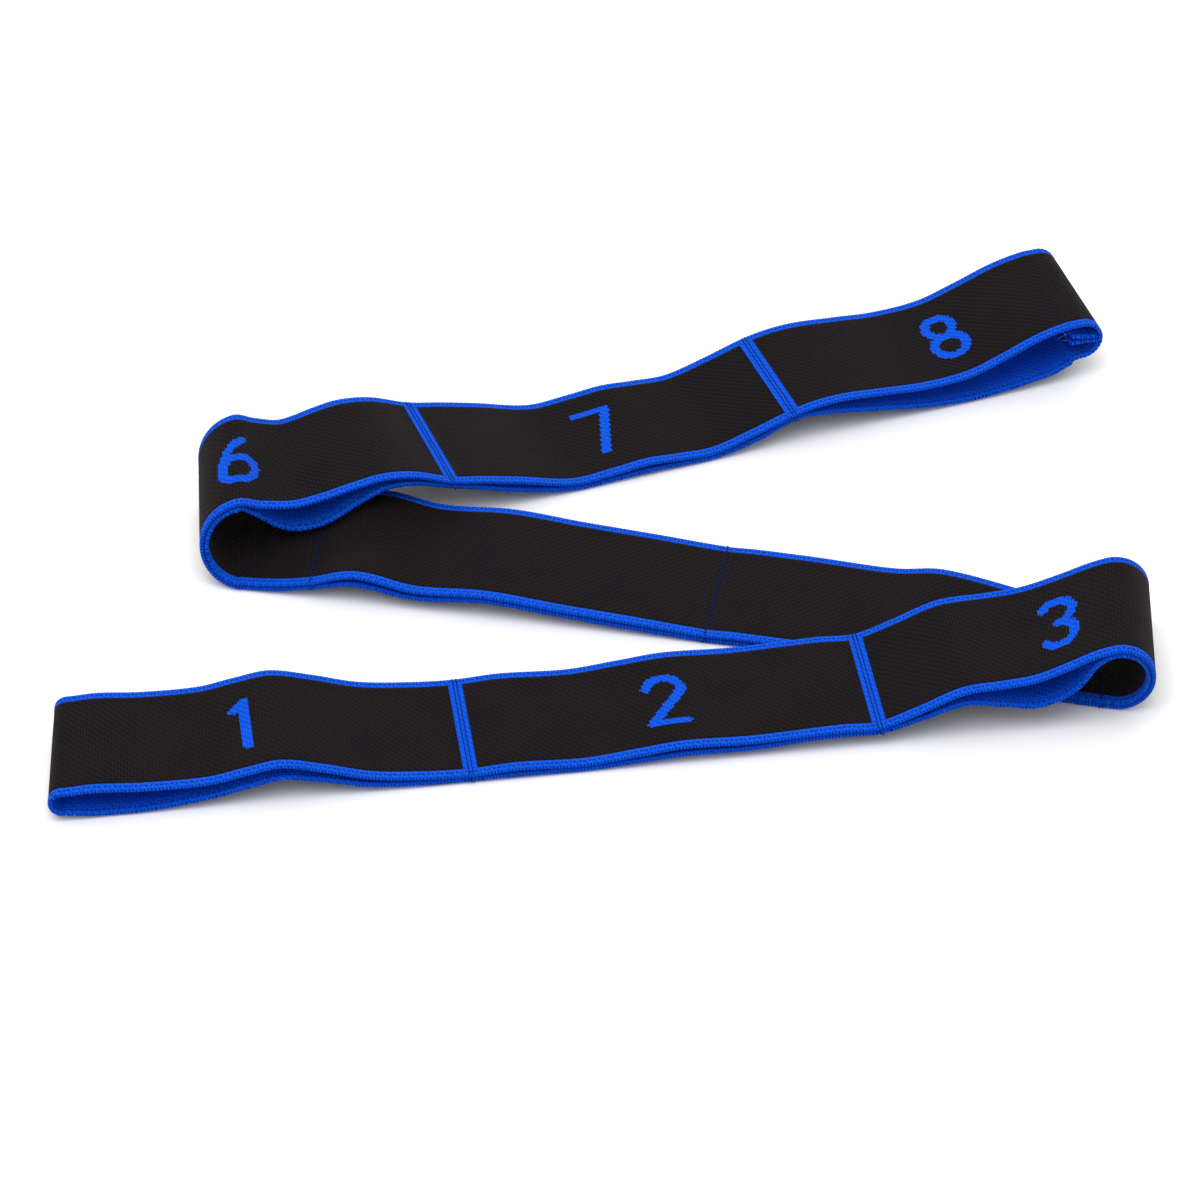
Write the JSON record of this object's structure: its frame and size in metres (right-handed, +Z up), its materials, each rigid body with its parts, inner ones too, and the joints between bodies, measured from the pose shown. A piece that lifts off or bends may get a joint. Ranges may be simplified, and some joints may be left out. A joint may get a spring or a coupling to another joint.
{
  "type": "stretching strap",
  "caption": "Elastic stretching strap: a folded webbing band stitched across into a row of hand and foot loops, lying in a loose Z; its loops fold at the seams and lift at the curls.",
  "frame": {"origin": "middle of the strap's footprint, on the surface it lies on", "axes": "+X along the long side of the Z in which it lies, +Y towards the back run, +Z up"},
  "size_m": [0.2911, 0.2344, 0.0243],
  "materials": {
    "webbing_front": "matt jacquard elastic webbing, near black with royal blue edges, bars and numerals",
    "webbing_back": "matt elastic webbing, near black outside and royal blue inside",
    "rubber_threads": "bare natural rubber threads",
    "seam_weave": "royal blue stitched webbing",
    "sewing_thread": "spun polyester thread"
  },
  "bodies": {
    "middle_run": {"front_web_4": "webbing_front", "back_web_4": "webbing_back", "rubber_core_4": "rubber_threads", "front_web_5": "webbing_front", "back_web_5": "webbing_back", "rubber_core_5": "rubber_threads", "front_web_6_low": "webbing_front", "back_web_6_low": "webbing_back", "rubber_core_6_low": "rubber_threads", "front_web_3_curl": "webbing_front", "back_web_3_curl": "webbing_back", "rubber_core_3_curl": "rubber_threads", "front_web_6_curl": "webbing_front", "back_web_6_curl": "webbing_back", "rubber_core_6_curl": "rubber_threads", "seam_roll_3_4": "seam_weave", "seam_thread_3_4": "sewing_thread", "seam_roll_4_5": "seam_weave", "seam_thread_4_5": "sewing_thread", "seam_roll_5_6": "seam_weave", "seam_thread_5_6": "sewing_thread"},
    "loop_3": {"front_web_3_top": "webbing_front", "back_web_3_top": "webbing_back", "rubber_core_3_top": "rubber_threads", "seam_roll_2_3": "seam_weave", "seam_thread_2_3": "sewing_thread"},
    "loop_2": {"front_web_2": "webbing_front", "back_web_2": "webbing_back", "rubber_core_2": "rubber_threads", "seam_roll_1_2": "seam_weave", "seam_thread_1_2": "sewing_thread"},
    "loop_1": {"front_web_1": "webbing_front", "back_web_1": "webbing_back", "rubber_core_1": "rubber_threads"},
    "loop_6": {"front_web_6_top": "webbing_front", "back_web_6_top": "webbing_back", "rubber_core_6_top": "rubber_threads", "seam_roll_6_7": "seam_weave", "seam_thread_6_7": "sewing_thread"},
    "loop_7": {"front_web_7": "webbing_front", "back_web_7": "webbing_back", "rubber_core_7": "rubber_threads", "seam_roll_7_8": "seam_weave", "seam_thread_7_8": "sewing_thread"},
    "loop_8": {"front_web_8": "webbing_front", "back_web_8": "webbing_back", "rubber_core_8": "rubber_threads", "end_seam_tab": "seam_weave", "end_seam_thread": "sewing_thread"}
  },
  "joints": [
    {"name": "fold_right", "type": "hinge", "parent": "middle_run", "child": "loop_3", "pos_m": [0.1342, -0.0546, 0.01215], "axis": [0.0349, 0.9994, 0], "range_deg": [0, 60], "deforming": ["front_web_3_curl", "back_web_3_curl", "rubber_core_3_curl"]},
    {"name": "seam_2_3_fold", "type": "hinge", "parent": "loop_3", "child": "loop_2", "pos_m": [0.0689, -0.0667, 0.0045], "axis": [-0.1392, 0.9903, 0], "range_deg": [0, 90]},
    {"name": "seam_1_2_fold", "type": "hinge", "parent": "loop_2", "child": "loop_1", "pos_m": [-0.0381, -0.0821, 0.0014], "axis": [-0.1392, 0.9903, 0], "range_deg": [0, 90]},
    {"name": "fold_left", "type": "hinge", "parent": "middle_run", "child": "loop_6", "pos_m": [-0.1016, 0.0044, 0.01095], "axis": [0.0698, -0.9976, 0], "range_deg": [0, 60], "deforming": ["front_web_6_curl", "back_web_6_curl", "rubber_core_6_curl"]},
    {"name": "seam_6_7_fold", "type": "hinge", "parent": "loop_6", "child": "loop_7", "pos_m": [-0.0497, 0.0289, 0.012], "axis": [0.3502, -0.9367, 0], "range_deg": [0, 90]},
    {"name": "seam_7_8_fold", "type": "hinge", "parent": "loop_7", "child": "loop_8", "pos_m": [0.0462, 0.0648, 0.0085], "axis": [0.3502, -0.9367, 0], "range_deg": [0, 90]}
  ]
}
